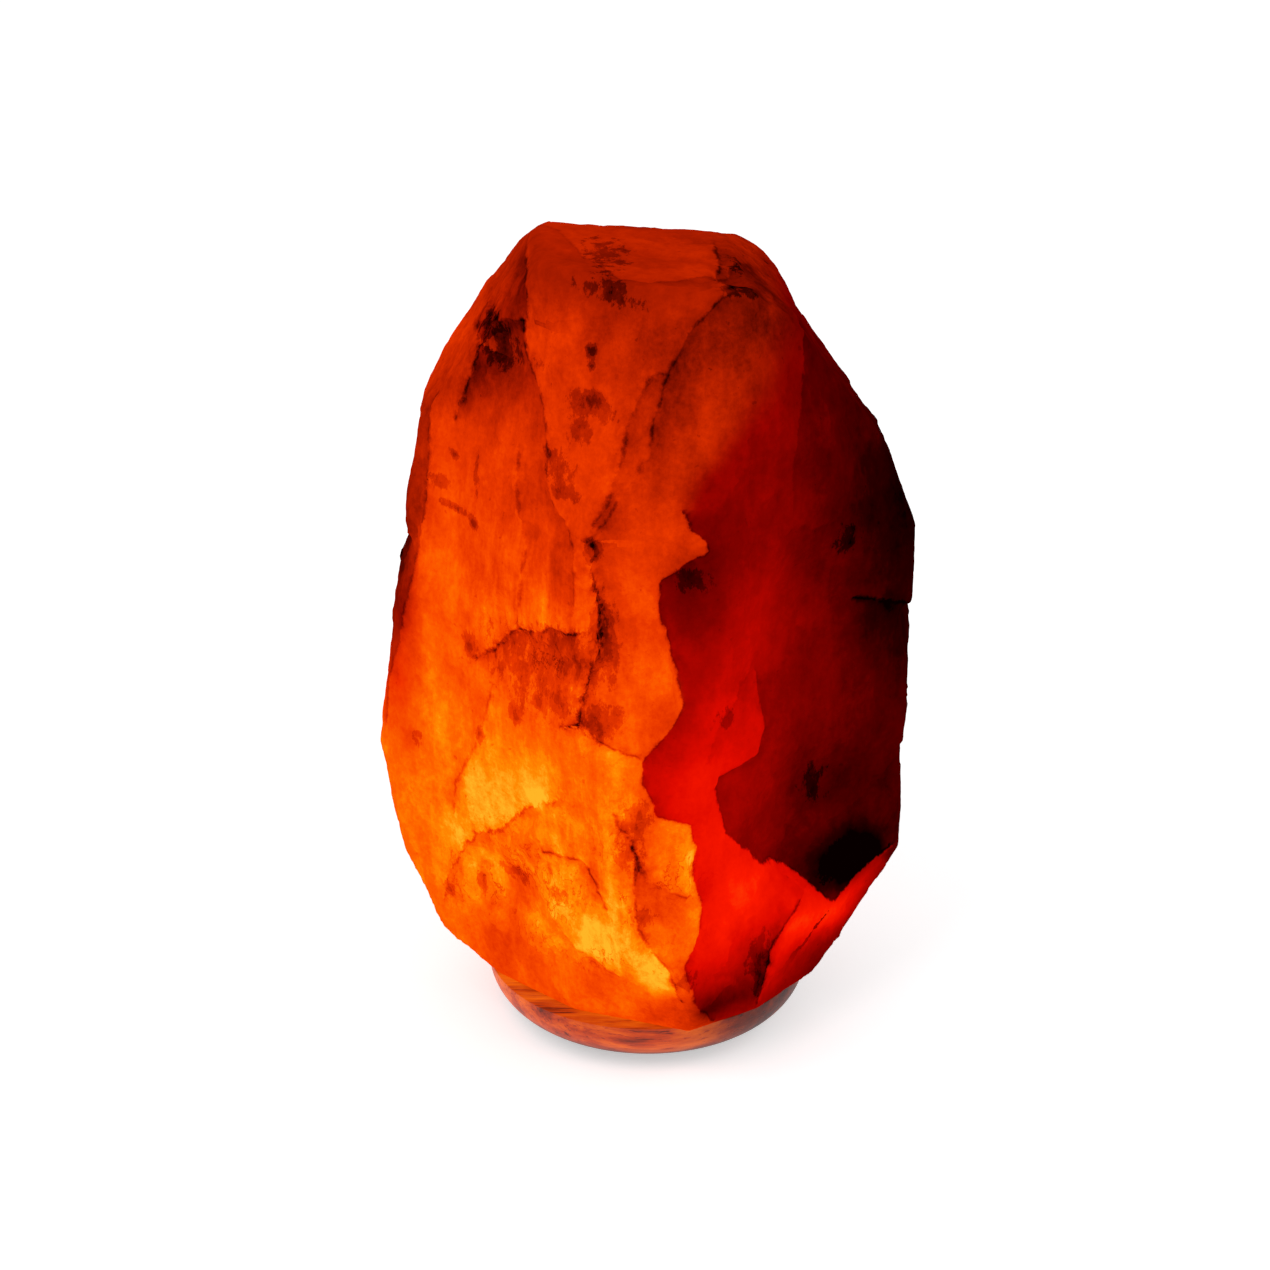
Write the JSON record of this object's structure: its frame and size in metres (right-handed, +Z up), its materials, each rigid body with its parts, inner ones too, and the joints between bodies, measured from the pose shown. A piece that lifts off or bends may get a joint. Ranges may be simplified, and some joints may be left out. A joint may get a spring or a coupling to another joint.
{
  "type": "salt crystal lamp",
  "caption": "Table lamp of a rough chipped salt crystal on a round wooden base, lit from within by a small screw-in bulb whose holder pulls out from below.",
  "frame": {"origin": "on the table, under the middle of the round base", "axes": "+Z up; the crystal's front faces -Y, and the lead leaves towards +Y"},
  "size_m": [0.1644, 0.1232, 0.2591],
  "materials": {
    "rock_salt": "rough, translucent",
    "dark_wood": "varnished",
    "steel": "zinc plated",
    "grey_plastic": "matte",
    "black_rubber": "matte",
    "black_plastic": "satin",
    "phenolic": "satin",
    "ceramic": "unglazed",
    "contact_brass": "bright",
    "shell_brass": "drawn",
    "spring_steel": "bright",
    "rivet_steel": "bright",
    "gland_rubber": "matte",
    "cap_metal": "drawn",
    "black_glass": "gloss",
    "solder": "dull",
    "frosted_glass": "frosted",
    "clear_glass": "clear",
    "lead_metal": "drawn",
    "tungsten": "drawn"
  },
  "bodies": {
    "holder": {"cover_plate": "black_plastic", "plate_screws": "steel", "socket_housing": "phenolic", "contact_block": "ceramic", "centre_contact": "contact_brass", "side_contact": "contact_brass", "thread_shell": "shell_brass", "terminal_clamps": "contact_brass", "terminal_screws": "contact_brass", "spring_clip_left": "spring_steel", "spring_clip_right": "spring_steel", "clip_rivets": "rivet_steel", "cord_gland": "gland_rubber"},
    "crystal_and_base": {"salt_crystal": "rock_salt", "wood_base": "dark_wood", "base_screws": "steel", "wall_plugs": "grey_plastic", "rubber_feet": "black_rubber"},
    "bulb_carrier": {"tip_contact": "solder"},
    "bulb": {"bulb_cap": "cap_metal", "cap_insulator": "black_glass", "bulb_glass": "frosted_glass", "bulb_stem": "clear_glass", "lead_wires": "lead_metal", "filament": "tungsten", "filament_supports": "lead_metal"}
  },
  "joints": [
    {"name": "holder_slide", "type": "slide", "parent": "holder", "child": "crystal_and_base", "axis": [0, 0, 1], "range_m": [0, 0.1]},
    {"name": "bulb_lift", "type": "slide", "parent": "holder", "child": "bulb_carrier", "axis": [0, 0, 1], "range_m": [0, 0.0142]},
    {"name": "bulb_turn", "type": "hinge", "parent": "bulb_carrier", "child": "bulb", "pos_m": [0, 0, 0.0225], "axis": [0, 0, 1], "range_deg": [0, 1800]}
  ],
  "couplings": [
    {"joint": "bulb_lift", "follows": "bulb_turn", "m_per_rad": 0.00044882}
  ]
}
